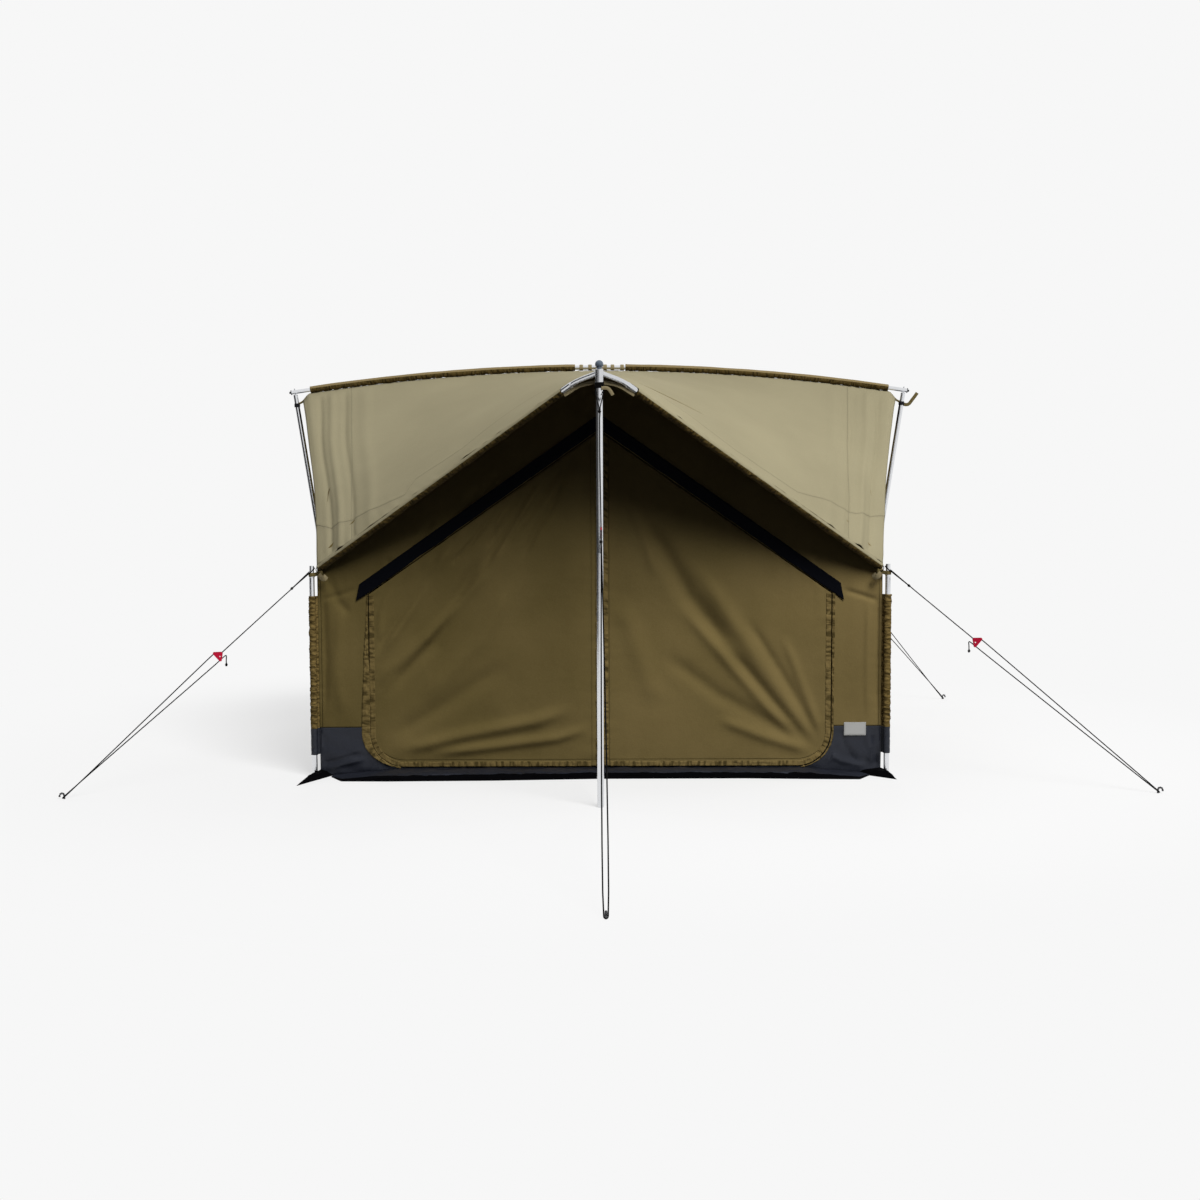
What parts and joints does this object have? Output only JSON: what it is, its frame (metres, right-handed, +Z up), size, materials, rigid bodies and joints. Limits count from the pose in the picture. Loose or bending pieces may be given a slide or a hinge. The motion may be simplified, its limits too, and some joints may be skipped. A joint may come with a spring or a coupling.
{
  "type": "cabin tent",
  "caption": "Square canvas cabin tent hung under an outside tube frame, with a double zipped door, a front and rear porch roof, a tub floor and guy ropes.",
  "frame": {"origin": "on the ground in the middle of the cabin's plan", "axes": "+Z up, +X to the right seen from the front, +Y from the door to the rear"},
  "size_m": [5.4099, 6.0663, 2.2433],
  "materials": {
    "tube": "bright drawn tube",
    "hub": "satin casting",
    "cap": "moulded, slightly glossy",
    "roof": "light khaki polycotton canvas",
    "wall": "olive brown polycotton canvas",
    "sleeve": "brown woven sleeve with seam",
    "tub": "coated charcoal groundsheet",
    "flap": "black woven strip",
    "net": "black insect net",
    "webbing": "beige webbing",
    "rope": "black braided rope",
    "tensioner": "red anodised aluminium",
    "peg": "dark steel",
    "zip": "black"
  },
  "bodies": {
    "tent": {"front_hub": "hub", "front_hub_cap": "cap", "front_centre_pole": "tube", "ridge_pole_front": "tube", "ridge_sleeve_front": "sleeve", "rear_hub": "hub", "rear_hub_cap": "cap", "rear_centre_pole": "tube", "ridge_pole_rear": "tube", "ridge_sleeve_rear": "sleeve", "corner_pole_front_left": "tube", "corner_sleeve_front_left": "sleeve", "rafter_front_left": "tube", "roof_front_left": "roof", "corner_pole_front_right": "tube", "corner_sleeve_front_right": "sleeve", "rafter_front_right": "tube", "roof_front_right": "roof", "corner_pole_rear_left": "tube", "corner_sleeve_rear_left": "sleeve", "rafter_rear_left": "tube", "roof_rear_left": "roof", "corner_pole_rear_right": "tube", "corner_sleeve_rear_right": "sleeve", "rafter_rear_right": "tube", "roof_rear_right": "roof", "cross_pole_left": "tube", "cross_end_plug_left": "cap", "cross_sleeve_left": "sleeve", "side_pole_left": "tube", "side_wall_left": "wall", "storm_flap_left": "flap", "cross_pole_right": "tube", "cross_end_plug_right": "cap", "cross_sleeve_right": "sleeve", "side_pole_right": "tube", "side_wall_right": "wall", "storm_flap_right": "flap", "crown_connector": "hub", "crown_tabs": "webbing", "front_wall": "wall", "rear_wall": "wall", "rear_window_net": "net", "floor_tub": "tub", "guy_rope_front_left": "rope", "peg_front_left": "peg", "guy_rope_front_right": "rope", "peg_front_right": "peg", "guy_rope_rear_right": "rope", "peg_rear_right": "peg", "guy_rope_centre": "rope", "peg_centre": "peg"},
    "left_door": {"door_left": "wall"},
    "right_door": {"door_right": "wall"},
    "zip": {"zip_slider": "zip"},
    "window_flap": {"rear_window_flap": "wall"},
    "front_left_tensioner": {"tensioner_front_left": "tensioner"},
    "front_right_tensioner": {"tensioner_front_right": "tensioner"},
    "rear_right_tensioner": {"tensioner_rear_right": "tensioner"},
    "centre_tensioner": {"tensioner_centre": "tensioner"}
  },
  "joints": [
    {"name": "left_door_swing", "type": "hinge", "parent": "tent", "child": "left_door", "pos_m": [-1.212, -1.225, 0.5], "axis": [0, 0, -1], "range_deg": [-90, 105]},
    {"name": "right_door_swing", "type": "hinge", "parent": "tent", "child": "right_door", "pos_m": [1.212, -1.225, 0.5], "axis": [0, 0, 1], "range_deg": [-90, 105]},
    {"name": "zip_travel", "type": "slide", "parent": "left_door", "child": "zip", "axis": [0, 0, 1], "range_m": [0, 1.66]},
    {"name": "window_flap_swing", "type": "hinge", "parent": "tent", "child": "window_flap", "pos_m": [0, 1.221, 1.55], "axis": [-1, 0, 0], "range_deg": [0, 100]},
    {"name": "front_left_tensioner_slide", "type": "slide", "parent": "tent", "child": "front_left_tensioner", "axis": [-0.6779, -0.345, -0.6492], "range_m": [-0.1, 0.1], "deforming": ["guy_rope_front_left"]},
    {"name": "front_right_tensioner_slide", "type": "slide", "parent": "tent", "child": "front_right_tensioner", "axis": [0.7209, -0.3023, -0.6236], "range_m": [-0.1, 0.1], "deforming": ["guy_rope_front_right"]},
    {"name": "rear_right_tensioner_slide", "type": "slide", "parent": "tent", "child": "rear_right_tensioner", "axis": [0.6346, 0.2701, -0.7241], "range_m": [-0.1, 0.1], "deforming": ["guy_rope_rear_right"]},
    {"name": "centre_tensioner_slide", "type": "slide", "parent": "tent", "child": "centre_tensioner", "axis": [0.0063, -0.699, -0.7151], "range_m": [-0.1, 0.1], "deforming": ["guy_rope_centre"]}
  ]
}
